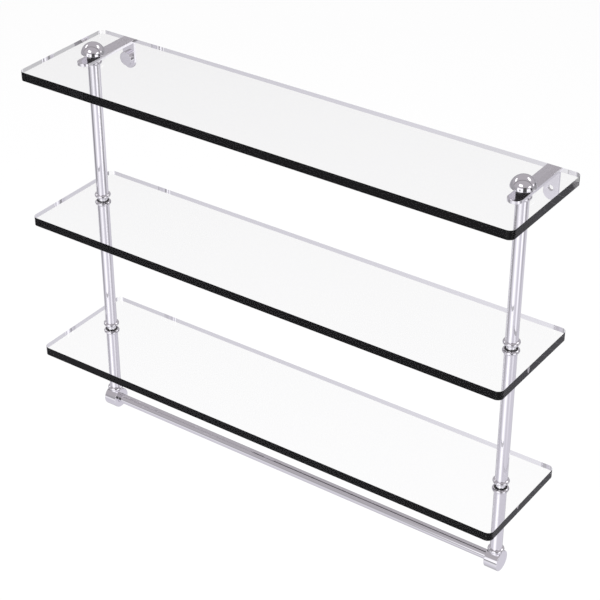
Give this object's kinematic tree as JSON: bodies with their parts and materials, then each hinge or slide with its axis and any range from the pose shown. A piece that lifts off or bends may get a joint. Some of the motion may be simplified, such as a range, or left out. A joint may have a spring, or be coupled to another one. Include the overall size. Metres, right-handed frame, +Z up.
{
  "type": "tiered glass shelf",
  "caption": "Wall-hung tiered glass shelf: clear panes stacked on chrome posts with dome finials and bead collars, flat wall brackets behind, and a towel bar below.",
  "frame": {"origin": "middle of the line through the wall screw holes, on the wall plane", "axes": "+X along the shelf to the right as seen from the front, +Y into the wall, +Z up"},
  "size_m": [0.5588, 0.1333, 0.4461],
  "materials": {
    "glass": "clear, polished edges",
    "chrome": "polished",
    "steel": "plain",
    "rubber": "black"
  },
  "bodies": {
    "frame": {"top_pane": "glass", "middle_pane": "glass", "bottom_pane": "glass", "left_screw_cap": "chrome", "left_bracket": "chrome", "left_finial": "chrome", "left_bar_end": "chrome", "left_upper_post_tube": "chrome", "left_upper_post_top_collar": "chrome", "left_upper_post_foot_collar": "chrome", "left_lower_post_tube": "chrome", "left_lower_post_top_collar": "chrome", "left_lower_post_foot_collar": "chrome", "left_short_post_tube": "chrome", "left_short_post_top_collar": "chrome", "left_short_post_foot_collar": "chrome", "left_top_sleeve": "rubber", "left_middle_sleeve": "chrome", "left_bottom_sleeve": "chrome", "left_top_stud": "steel", "left_middle_stud": "steel", "left_bottom_stud": "steel", "left_foot_stud": "steel", "right_bracket": "chrome", "right_finial": "chrome", "right_bar_end": "chrome", "right_upper_post_tube": "chrome", "right_upper_post_top_collar": "chrome", "right_upper_post_foot_collar": "chrome", "right_lower_post_tube": "chrome", "right_lower_post_top_collar": "chrome", "right_lower_post_foot_collar": "chrome", "right_short_post_tube": "chrome", "right_short_post_top_collar": "chrome", "right_short_post_foot_collar": "chrome", "right_top_sleeve": "rubber", "right_middle_sleeve": "chrome", "right_bottom_sleeve": "chrome", "right_top_stud": "steel", "right_middle_stud": "steel", "right_bottom_stud": "steel", "right_foot_stud": "steel"},
    "towel_bar": {"towel_bar": "chrome"}
  },
  "joints": [
    {"name": "bar_turn", "type": "hinge", "parent": "frame", "child": "towel_bar", "pos_m": [0, -0.05715, -0.39372], "axis": [1, 0, 0], "continuous": true}
  ]
}
